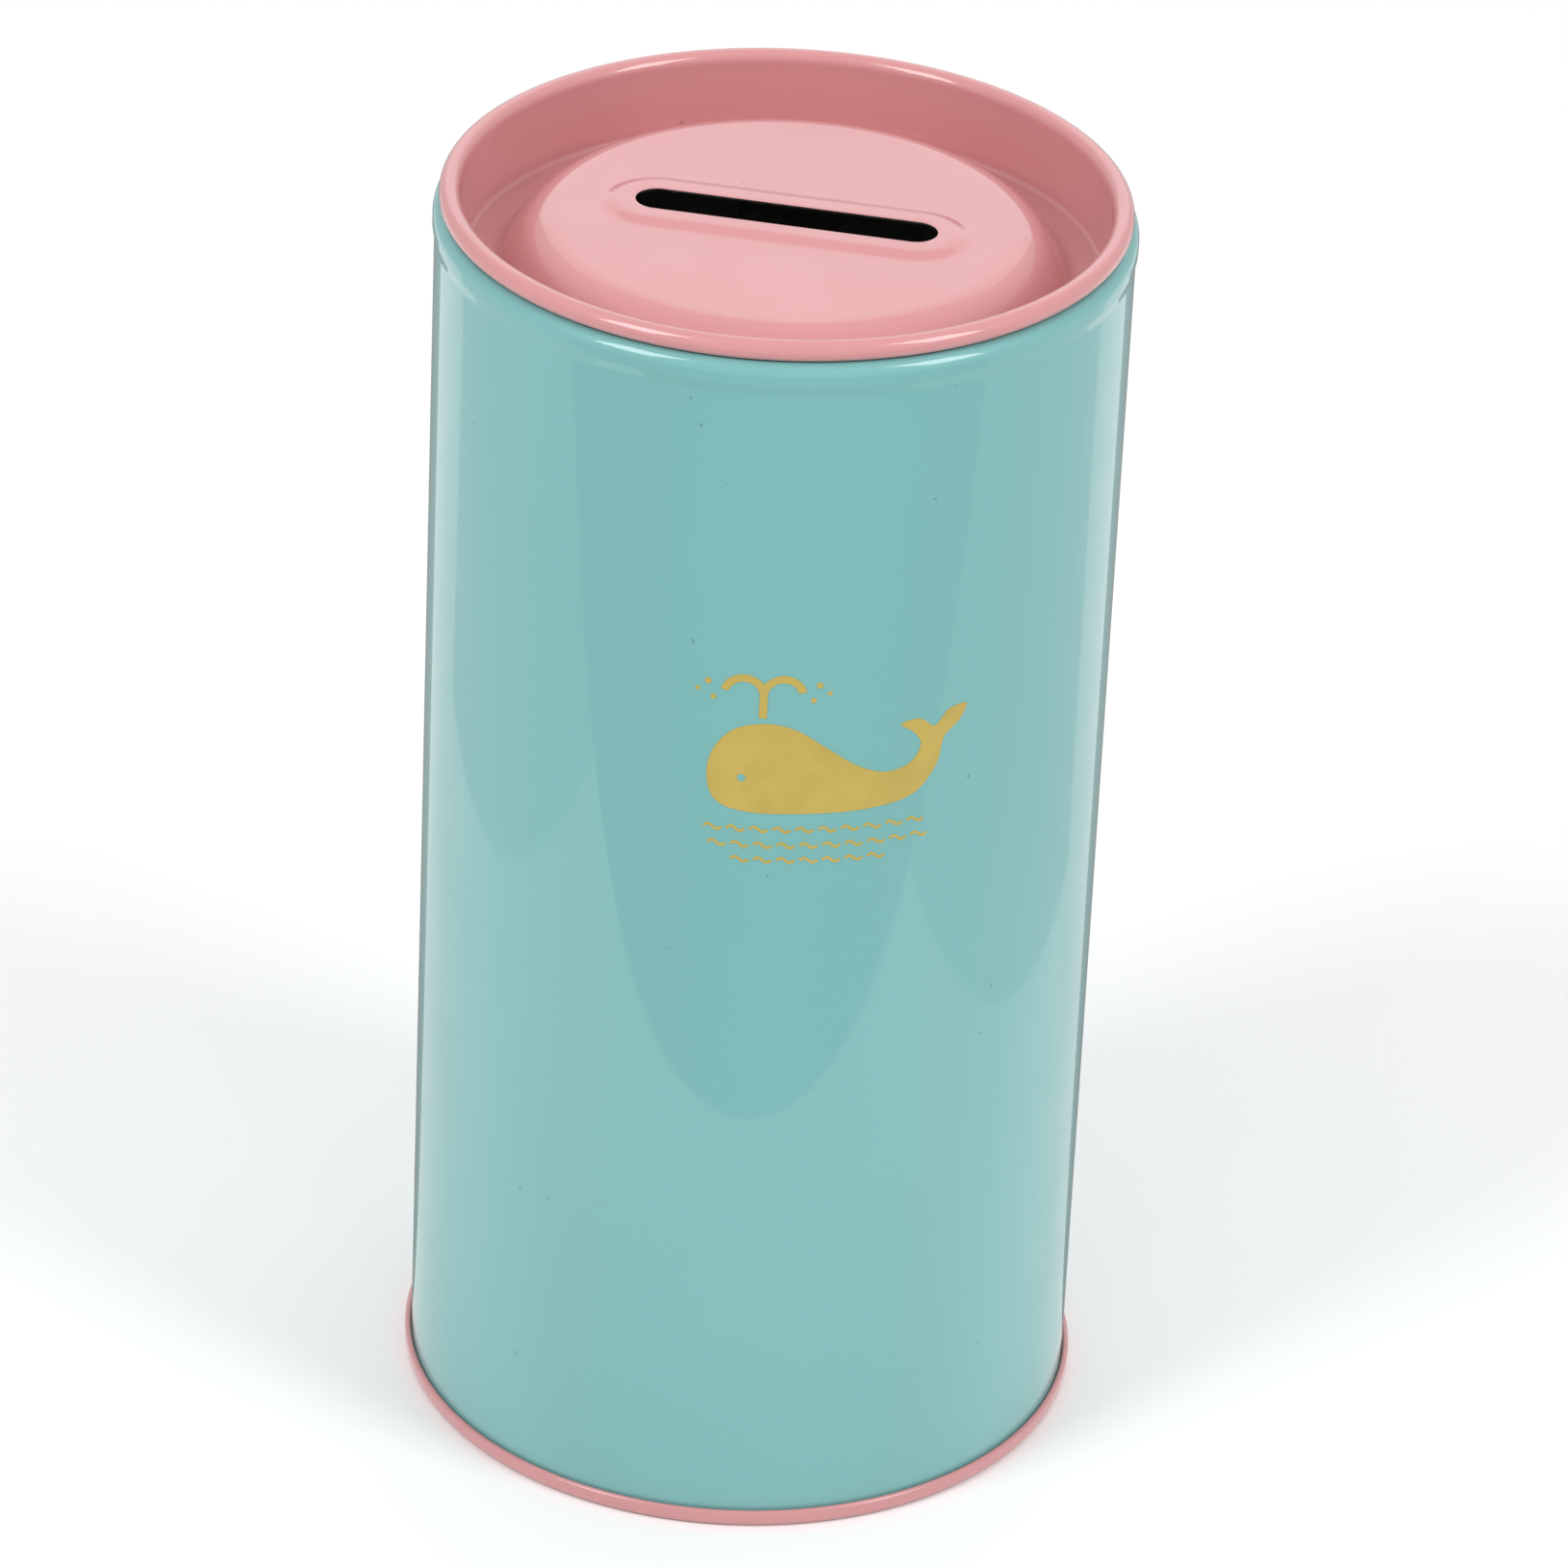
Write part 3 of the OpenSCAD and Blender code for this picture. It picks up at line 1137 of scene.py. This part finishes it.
@dataclass
class PlugLid:
    """The plug lid: curl, wall, channel, raised panel and bordered coin slot.

    Attributes:
        can: The shared sizes.
        channel_depth: Depth from the top of the curl to the channel's floor.
        panel_rise: Height of the panel above the channel's floor.
        panel_r: Radius at which the panel's flat turns down.
        panel_bend: Radius of the bend there.
        foot_r: Radius of the foot of the raised panel.
        foot_bend: Radius of the bend there.
        draft: How much narrower the wall is at its foot.
        wall_bend: Radius of the bend from the channel to the wall.
        draft_end: From the end of the wall's draft up to the centre of the curl.
        draft_bend: Radius of the bend there.
        neck: From the last point of the wall up to the centre of the curl.
        curl_end: Angle of the end of the curl, in degrees.
        slot_l: Length of the coin slot.
        slot_w: Width of the coin slot.
        border_w: Width of the raised border round the slot.
        border_rise: Height of the border.
        border_bend: Radius of the bends at the border's outer slope.
        slope_in: How far the border's outer slope reaches inside its edge.
        slope_out: How far it reaches outside that edge.
        rings_end: How far outside that edge the border's rings end.
        rollover: How far the slot's edge is drawn down by the punch.
        rollover_w: Width of the stretch that is drawn down.
        rollover_bend: Radius of the bend beside it.
        join_r: Radius at which the border's rings give way to round ones.
        roundness: How far each ring outside the border has changed to a circle, 0 to 1.
    """

    can: CanSizes
    channel_depth: float = 9.05
    panel_rise: float = 5.6
    panel_r: float = 26.5
    panel_bend: float = 5.0
    foot_r: float = 30.7
    foot_bend: float = 1.5
    draft: float = 0.3
    wall_bend: float = 0.7
    draft_end: float = 1.0
    draft_bend: float = 3.0
    neck: float = 0.3
    curl_end: float = -130.0
    slot_l: float = 33.0
    slot_w: float = 5.0
    border_w: float = 2.9
    border_rise: float = 0.5
    border_bend: float = 2.5
    slope_in: float = 0.8
    slope_out: float = 0.7
    rings_end: float = 1.5
    rollover: float = 0.06
    rollover_w: float = 0.35
    rollover_bend: float = 0.6
    join_r: float = 22.0
    roundness: tuple[float, ...] = (0.15, 0.35, 0.6, 0.85, 0.98, 1.0)

    @property
    def channel_z(self) -> float:
        """Height of the middle of the channel's floor."""
        return self.can.total_h - self.channel_depth - self.can.tin.half

    @property
    def panel_z(self) -> float:
        """Height of the middle of the panel."""
        return self.channel_z + self.panel_rise

    def round_line(self) -> Line:
        """The section of the lid outside the slot's panel.

        Returns:
            Its middle line, from the edge of the slot's panel to the end of the curl.
        """
        can = self.can
        line = bent([
            (self.join_r, self.panel_z, 0),
            (self.panel_r, self.panel_z, self.panel_bend),
            (self.foot_r, self.channel_z, self.foot_bend),
            (can.lid_wall_mid - self.draft, self.channel_z, self.wall_bend),
            (can.lid_wall_mid, can.curl_z - self.draft_end, self.draft_bend),
            (can.lid_wall_mid, can.curl_z - self.neck, 0),
        ])
        curl = arc(Vector((can.curl_r, can.curl_z)), can.curl_mid, 180, self.curl_end)
        return held(spaced(line + curl))

    def border_line(self) -> Line:
        """The section of the slot's border.

        A point's x is its distance from the slot's edge, and its y is its height.

        Returns:
            Its middle line, outwards from the slot's edge.
        """
        top = self.panel_z + self.border_rise
        return held(bent([
            (0, top - self.rollover, 0),
            (self.rollover_w, top, self.rollover_bend),
            (self.border_w - self.slope_in, top, self.border_bend),
            (self.border_w + self.slope_out, self.panel_z, self.border_bend),
            (self.border_w + self.rings_end, self.panel_z, 0),
        ]), hold=0.06)

    def panel_ring(self, offset: float, height: float, to_round: float = 0) -> list[Vector]:
        """One ring of the panel round the slot.

        Args:
            offset: How far outside the slot's edge the ring lies.
            height: Its height.
            to_round: How far the ring has changed from the slot's shape to a circle, 0 to 1.

        Returns:
            The ring's points, in metres.
        """
        straight = (self.slot_l - self.slot_w) / 2
        ring = []
        for i in range(SEGMENTS):
            turn = math.tau * i / SEGMENTS
            bar = bar_point(turn, straight, self.slot_w / 2 + offset)
            circle = self.join_r * Vector((math.cos(turn), math.sin(turn)))
            flat = bar.lerp(circle, to_round)
            ring.append(Vector((flat.x, flat.y, height)) * MM)
        return ring

    def add_panel(self, mesh: bpy.types.Mesh) -> None:
        """Adds the panel between the slot and the turned part of the lid.

        Args:
            mesh: The turned part.
        """
        top, under = sides(self.border_line(), self.can.tin.thickness)

        def rings(side: Line) -> list[list[Vector]]:
            """The rings of one side of the sheet, from the slot's edge outwards."""
            near = [self.panel_ring(p.x, p.y) for p in side]
            return near + [self.panel_ring(side[-1].x, side[-1].y, t) for t in self.roundness]

        def fill(work: bmesh.types.BMesh) -> None:
            """Adds the panel's top and underside and the slot's cut edge.

            Args:
                work: The mesh under construction.
            """
            ring_faces(work, rings(top), Coats.index(True))
            ring_faces(work, rings(under), Coats.index(False))
            cut_edge = [self.panel_ring(p.x, p.y) for p in (top[0], under[0])]
            ring_faces(work, cut_edge, Coats.index(False))

        edit(mesh, fill)

    def build(self, lathe: Lathe, coats: Coats) -> bpy.types.Object:
        """Makes the lid.

        Args:
            lathe: The lathe.
            coats: The materials of its top and its underside.

        Returns:
            The lid.
        """
        faces = sides(self.round_line(), self.can.tin.thickness)
        piece = turned_sheet(lathe, "plug_lid", faces, Side.LEFT, coats, closed=False)
        self.add_panel(piece.data)
        finish_mesh(piece.data)
        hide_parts("lid")
        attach(piece, "lid")
        return piece


# ---------------------------------------------------------------------------
# The print
# ---------------------------------------------------------------------------


def smooth_loop(points: Sequence[tuple[float, float]], steps: int = 8) -> Line:
    """Points of a smooth closed curve.

    Args:
        points: The points that the curve passes through.
        steps: The number of points to each stretch between two of them.

    Returns:
        The curve's points.
    """
    ends = [Vector(p) for p in points]
    count = len(ends)
    line: Line = []
    for i in range(count):
        a, b, c, d = (ends[(i + j) % count] for j in (-1, 0, 1, 2))
        for s in range(steps):
            k = s / steps
            line.append((
                2 * b + (c - a) * k
                + (2 * a - 5 * b + 4 * c - d) * k**2
                + (3 * b - a - 3 * c + d) * k**3
            ) / 2)
    return line


@dataclass
class WhalePrint:
    """The gold print: a plain whale with a spout, over three rows of ripples.

    It is drawn flat, in millimetres: x is the distance round the wall from the print's
    middle, and y is the height above its foot.

    Attributes:
        can: The shared sizes.
        angle: Angle of the print's middle round the can, in degrees from +X.
        foot: Height of the whale's underside.
        ink: Thickness of the ink.
        outline: The points that the whale's outline passes through.
        eye: Centre of its eye.
        eye_r: Radius of its eye.
        spout_x: Where the spout stands.
        spout_foot: Height at which the spout starts.
        jet_z: Height of the centres of the spout's two jets.
        jet_r: Radius of a jet.
        jet_w: Width of a jet.
        jet_end: Angle at which a jet ends, in degrees.
        drops: Distance from the spout, height and radius of the drops on each side.
        ripple_w: Width of a ripple's line.
        ripple_rise: Height of its wave.
        ripple_len: Its length.
        ripple_step: From the start of one ripple to that of the next.
        ripple_parts: The number of straight parts of a ripple's wave.
        ripple_rows: Start, height and number of the ripples of each row.
        slice_w: Width of the slices that lie flat on the wall.
        shapes: The closed outlines drawn so far.
    """

    can: CanSizes
    angle: float = -66.15
    foot: float = 91.25
    ink: float = 0.05
    outline: tuple[tuple[float, float], ...] = (
        (-14.1, 4), (-13.6, 7.2), (-11.6, 9.8), (-8.4, 10.8), (-5, 10.2), (-1.6, 8),
        (1.8, 5.6), (5, 4.4), (7.8, 5), (9, 7), (8.2, 8.6), (6.6, 9.9), (8.8, 10.2),
        (10.6, 9), (12.2, 10.6), (14.4, 10.8), (13.6, 9), (11.8, 7.4), (11, 4.2),
        (8.4, 1.2), (3.6, 0.2), (-3, 0), (-9.6, 0.1), (-13, 1.2),
    )
    eye: tuple[float, float] = (-10.4, 4.2)
    eye_r: float = 0.45
    spout_x: float = -8.4
    spout_foot: float = 11.5
    jet_z: float = 14.1
    jet_r: float = 2.1
    jet_w: float = 0.85
    jet_end: float = 15.0
    drops: tuple[tuple[float, float, float], ...] = (
        (5.9, 15.5, 0.35), (5.3, 13.7, 0.3), (7, 14.5, 0.25),
    )
    ripple_w: float = 0.3
    ripple_rise: float = 0.28
    ripple_len: float = 1.9
    ripple_step: float = 2.45
    ripple_parts: int = 16
    ripple_rows: tuple[tuple[float, float, int], ...] = (
        (-14.2, -2, 10), (-13.7, -3.9, 10), (-11.2, -5.7, 7),
    )
    slice_w: float = 0.5
    shapes: list[Line] = field(default_factory=list)

    def bar(self, line: Line, width: float) -> None:
        """Adds a line of a width."""
        left, right = sides(line, width)
        self.shapes.append(left + right[::-1])

    def dot(self, x: float, y: float, radius: float) -> None:
        """Adds a round dot."""
        self.shapes.append(arc(Vector((x, y)), radius, 0, 360 - 2 * BEND_STEP))

    def spout(self) -> Line:
        """The spout: a stem that parts into two jets.

        Returns:
            Its outline.
        """
        half = self.jet_w / 2
        outer, inner = self.jet_r + half, self.jet_r - half
        parting = math.degrees(math.acos(self.jet_r / outer))
        centre = Vector((self.spout_x + self.jet_r, self.jet_z))
        right = arc(centre, outer, 180 - parting, self.jet_end)
        right += arc(centre, inner, self.jet_end, 180)
        right.append(Vector((self.spout_x + half, self.spout_foot)))
        left = [Vector((2 * self.spout_x - p.x, p.y)) for p in right[::-1]]
        return spaced(right + left[:-1])

    def draw(self) -> None:
        """Draws the whale, its spout and the ripples."""
        self.shapes.append(smooth_loop(self.outline))
        self.dot(*self.eye, self.eye_r)
        self.shapes.append(self.spout())
        for side in (-1, 1):
            for away, height, radius in self.drops:
                self.dot(self.spout_x + side * away, height, radius)
        for start_x, height, count in self.ripple_rows:
            for i in range(count):
                at = Vector((start_x + i * self.ripple_step, height))
                along = (j / self.ripple_parts for j in range(self.ripple_parts + 1))
                wave = [
                    at + Vector((k * self.ripple_len, self.ripple_rise * math.sin(math.tau * k)))
                    for k in along
                ]
                self.bar(wave, self.ripple_w)

    def flat_mesh(self, shapes: Sequence[Line]) -> bpy.types.Mesh:
        """Fills shapes, where one that lies inside another is a hole.

        Args:
            shapes: The closed outlines.

        Returns:
            The filled mesh, in millimetres, in the XY plane.
        """
        curve = bpy.data.curves.new("print_outline", "CURVE")
        curve.dimensions = "2D"
        curve.fill_mode = "BOTH"
        for shape in shapes:
            spline = curve.splines.new("POLY")
            spline.points.add(len(shape) - 1)
            for point, at in zip(spline.points, shape):
                point.co = (at.x, at.y, 0, 1)
            spline.use_cyclic_u = True
        holder = bpy.data.objects.new("print_outline", curve)
        mesh = bpy.data.meshes.new_from_object(holder)
        bpy.data.objects.remove(holder)
        bpy.data.curves.remove(curve)
        return mesh

    def wrap(self, mesh: bpy.types.Mesh) -> None:
        """Cuts a flat mesh into slices, lays it on the wall and gives it the ink's thickness.

        Args:
            mesh: The flat mesh, which becomes the closed skin of ink.
        """
        wall = self.can.wall_r

        def lay(work: bmesh.types.BMesh) -> None:
            """Slices the mesh, thickens it and rolls it round the wall.

            Args:
                work: The mesh under construction.
            """
            reach = math.floor(max(abs(v.co.x) for v in work.verts) / self.slice_w)
            for i in range(-reach, reach + 1):
                bmesh.ops.bisect_plane(
                    work, geom=[*work.verts, *work.edges, *work.faces],
                    plane_co=(i * self.slice_w, 0, 0), plane_no=(1, 0, 0), dist=SHEET_MERGE,
                )
            bmesh.ops.remove_doubles(work, verts=work.verts, dist=SHEET_MERGE)
            bmesh.ops.recalc_face_normals(work, faces=work.faces)
            made = bmesh.ops.extrude_face_region(work, geom=list(work.faces), use_keep_orig=True)
            outer = {v for v in made["geom"] if isinstance(v, bmesh.types.BMVert)}
            for vert in work.verts:
                turn = math.radians(self.angle) + vert.co.x / wall
                radius = wall + (self.ink if vert in outer else 0)
                height = self.foot + vert.co.y
                vert.co = Vector((radius * math.cos(turn), radius * math.sin(turn), height)) * MM
            bmesh.ops.recalc_face_normals(work, faces=work.faces)

        edit(mesh, lay)

    def build(self, finish: bpy.types.Material) -> bpy.types.Object:
        """Makes the print.

        Args:
            finish: The ink.

        Returns:
            The print.
        """
        self.draw()
        mesh = self.flat_mesh(self.shapes)
        self.wrap(mesh)
        mesh.materials.clear()
        mesh.materials.append(finish)
        shade_smooth(mesh)
        piece = put("whale_print", mesh)
        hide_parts("printed_motif")
        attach(piece, "can")
        return piece


# ---------------------------------------------------------------------------
# The studio
# ---------------------------------------------------------------------------


def outwards(turn: float, lift: float) -> Vector:
    """The way out at a turn from -Y towards +X and a lift above the horizon, in degrees."""
    turn, lift = math.radians(turn), math.radians(lift)
    return Vector((math.sin(turn) * math.cos(lift), -math.cos(turn) * math.cos(lift), math.sin(lift)))


def paper(name: str, corners: Sequence[tuple[float, float]], height: float, grey: float) -> bpy.types.Object:
    """Lays a flat sheet of paper.

    Args:
        name: The sheet's name.
        corners: Its corners, in metres.
        height: Its height, in metres.
        grey: Its colour.

    Returns:
        The sheet.
    """
    mesh = bpy.data.meshes.new(name)
    mesh.from_pydata([(x, y, height) for x, y in corners], [], [range(len(corners))])
    shader = Shader(f"{name}_paper")
    shader.set(Base_Color=(grey, grey, grey, 1), Roughness=PAPER_ROUGHNESS)
    mesh.materials.append(shader.material)
    return put(name, mesh)


@dataclass(frozen=True)
class SoftBox:
    """A rectangular soft light that faces the can.

    Attributes:
        name: The light's name.
        turn: Its direction round the can from the camera's, in degrees.
        lift: Its height above the horizon, in degrees.
        away: Its distance, in metres.
        width: Its width, in metres.
        height: Its height, in metres.
        power: Its power, in watts.
        mirrored: Whether it shows in glossy surfaces.
    """

    name: str
    turn: float
    lift: float
    away: float
    width: float
    height: float
    power: float
    mirrored: bool = True

    def place(self, aim: Vector, front: float) -> None:
        """Hangs the light.

        Args:
            aim: The point that it faces.
            front: The camera's direction round the can, in degrees.
        """
        light = bpy.data.lights.new(self.name, "AREA")
        light.shape = "RECTANGLE"
        light.size, light.size_y = self.width, self.height
        light.energy = self.power
        back = outwards(front + self.turn, self.lift)
        lamp = put(self.name, light)
        lamp.visible_glossy = self.mirrored
        lamp.location = aim + back * self.away
        lamp.rotation_euler = (-back).to_track_quat("-Z", "Y").to_euler()


@dataclass
class Studio:
    """The pale floor, the soft lights and the camera.

    Attributes:
        turn: The camera's direction round the can, in degrees from -Y towards +X.
        lift: Its height above the horizon, in degrees.
        away: Its distance from the can's middle, in metres.
        lean: How far it is rolled, in degrees.
        pan: How far it looks past the can's middle to the right, in degrees.
        tilt: How far it looks over the can's middle, in degrees.
        aim_up: How far above the can's middle it circles, in millimetres.
        lens: Its focal length, in millimetres.
        sensor: Width of its sensor, in millimetres.
        clip: The nearest and the farthest distance that it sees, in metres.
        sky: Brightness of the room.
        floor_reach: How far the floor reaches, in metres.
        floor_grey: Grey of the floor.
        card_half: Half the width of the cards behind the can where they start, in metres.
        card_reach: How far the cards reach, in metres.
        dark_behind: Angle off straight behind up to which a card lies, in degrees.
        bright_behind: Angle off straight behind from which a card lies again, in degrees.
        card_z: Height of the cards above the floor, in metres.
        behind_grey: Grey of the card behind the can.
        front_grey: Grey of the card in front of it.
        side_grey: Grey of the cards on its two sides.
        paper_front: How far in front of the can the bare floor reaches, in metres.
        paper_left: How far to its left the bare floor reaches, in metres.
        paper_right: How far to its right the bare floor reaches, in metres.
        boxes: The soft lights.
    """

    turn: float = 11.2
    lift: float = 29.55
    away: float = 0.8938
    lean: float = 2.55
    pan: float = 0.163
    tilt: float = -0.062
    aim_up: float = 1.55
    lens: float = 185.15
    sensor: float = 36.0
    clip: tuple[float, float] = (0.01, 20.0)
    sky: float = 0.6
    floor_reach: float = 6.0
    floor_grey: float = 0.93
    card_half: float = 0.037
    card_reach: float = 0.6
    dark_behind: float = 27.0
    bright_behind: float = 53.0
    card_z: float = 0.0002
    behind_grey: float = 0.26
    front_grey: float = 0.24
    side_grey: float = 0.58
    paper_front: float = 0.122
    paper_left: float = 0.16
    paper_right: float = 0.13
    boxes: tuple[SoftBox, ...] = (
        SoftBox("key_box", turn=-52, lift=43, away=1.1, width=0.35, height=0.62, power=5.0),
        SoftBox("fill_box", turn=58, lift=41, away=1.1, width=0.35, height=0.62, power=4.7),
        SoftBox("top_box", turn=165, lift=70, away=1.5, width=1.2, height=0.6, power=2.8, mirrored=False),
        SoftBox("back_box", turn=180, lift=31, away=1.3, width=1.1, height=0.8, power=1.65),
    )

    def camera(self, low: Vector, high: Vector) -> None:
        """Sets the camera up.

        Args:
            low: The can's lowest corner.
            high: Its highest corner.
        """
        middle = Vector((0, 0, (low.z + high.z) / 2 + self.aim_up * MM))
        back = outwards(self.turn, self.lift)
        aim = (-back).to_track_quat("-Z", "Y").to_matrix()
        for angle, axis in ((-self.pan, "Y"), (self.tilt, "X"), (self.lean, "Z")):
            aim = aim @ Matrix.Rotation(math.radians(angle), 3, axis)
        data = bpy.data.cameras.new("camera")
        data.lens, data.sensor_width = self.lens, self.sensor
        data.clip_start, data.clip_end = self.clip
        camera = put("camera", data)
        camera.location = middle + back * self.away
        camera.rotation_euler = aim.to_euler()
        bpy.context.scene.camera = camera

    def floor(self) -> None:
        """Lays the pale floor."""
        far = self.floor_reach
        floor = paper("floor", [(-far, -far), (far, -far), (far, far), (-far, far)], 0, self.floor_grey)
        floor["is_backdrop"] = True

    def card(self, name: str, corners: Sequence[tuple[float, float]], grey: float) -> None:
        """Lays a grey card on the floor that shows only in the gloss of the can.

        Args:
            name: The card's name.
            corners: Its corners, in metres to the right of the can and behind it.
            grey: Its colour.
        """
        behind = -outwards(self.turn, 0).xy
        right = Vector((behind.y, -behind.x))
        spots = [tuple(right * x + behind * y) for x, y in corners]
        card = paper(name, spots, self.card_z, grey)
        card.visible_camera = False
        card.visible_diffuse = False
        card.visible_shadow = False
        card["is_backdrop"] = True

    def cards(self) -> None:
        """Lays the cards that give the can's gloss its edges.

        The wall mirrors the floor. It is darkest where it mirrors the card straight behind
        the can, and brightest where it mirrors the bare floor on either side of that card.
        """
        half, far, front = self.card_half, self.card_reach, -self.paper_front
        wide = half + far * math.tan(math.radians(self.dark_behind))
        behind_card = [(-half, 0), (half, 0), (wide, far), (-wide, far)]
        front_card = [(-far, front), (far, front), (far, -far), (-far, -far)]
        self.card("behind_card", behind_card, self.behind_grey)
        self.card("front_card", front_card, self.front_grey)
        slope = math.tan(math.radians(self.bright_behind))
        for name, side, near in (("left_card", -1, self.paper_left), ("right_card", 1, self.paper_right)):
            edge = [(x, (x - half) / slope) for x in (near, far)]
            corners = [(near, front), *edge, (far, front)]
            self.card(name, [(side * x, y) for x, y in corners], self.side_grey)

    def lights(self, middle: Vector) -> None:
        """Lights the room.

        Args:
            middle: The can's middle.
        """
        for box in self.boxes:
            box.place(middle, self.turn)
        world = bpy.data.worlds.new("studio")
        world.use_nodes = True
        background = world.node_tree.nodes["Background"]
        background.inputs["Color"].default_value = (1, 1, 1, 1)
        background.inputs["Strength"].default_value = self.sky
        bpy.context.scene.world = world
        bpy.context.scene.view_settings.view_transform = "Standard"


def main() -> None:
    """Loads the frame, builds each sub-assembly on it and lights the scene."""
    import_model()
    low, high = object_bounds()
    studio = Studio()
    studio.camera(low, high)

    tin = Tinplate()
    can = CanSizes.from_frame(tin)
    turquoise = Lacquer("turquoise_lacquer", (0.175, 0.43, 0.423), ripple=0.045, grain=5.0).make()
    pink = Lacquer("pink_lacquer", (0.61, 0.266, 0.272), ripple=0.01, grain=1.0).make()
    bare = BareTin().make()
    gold = PrintedInk().make()
    body_coats, end_coats = Coats(turquoise, bare), Coats(pink, bare)

    lathe = Lathe()
    pieces = [
        BodyShell(can).build(lathe, body_coats),
        BaseEnd(can).build(lathe, end_coats),
        PlugLid(can).build(lathe, end_coats),
        WhalePrint(can).build(gold),
    ]
    for piece in pieces:
        log.info("%s: %d faces", piece.name, len(piece.data.polygons))

    studio.floor()
    studio.cards()
    studio.lights((low + high) / 2)


if __name__ == "__main__":
    logging.basicConfig(level=logging.INFO, format="%(name)s %(message)s")
    main()
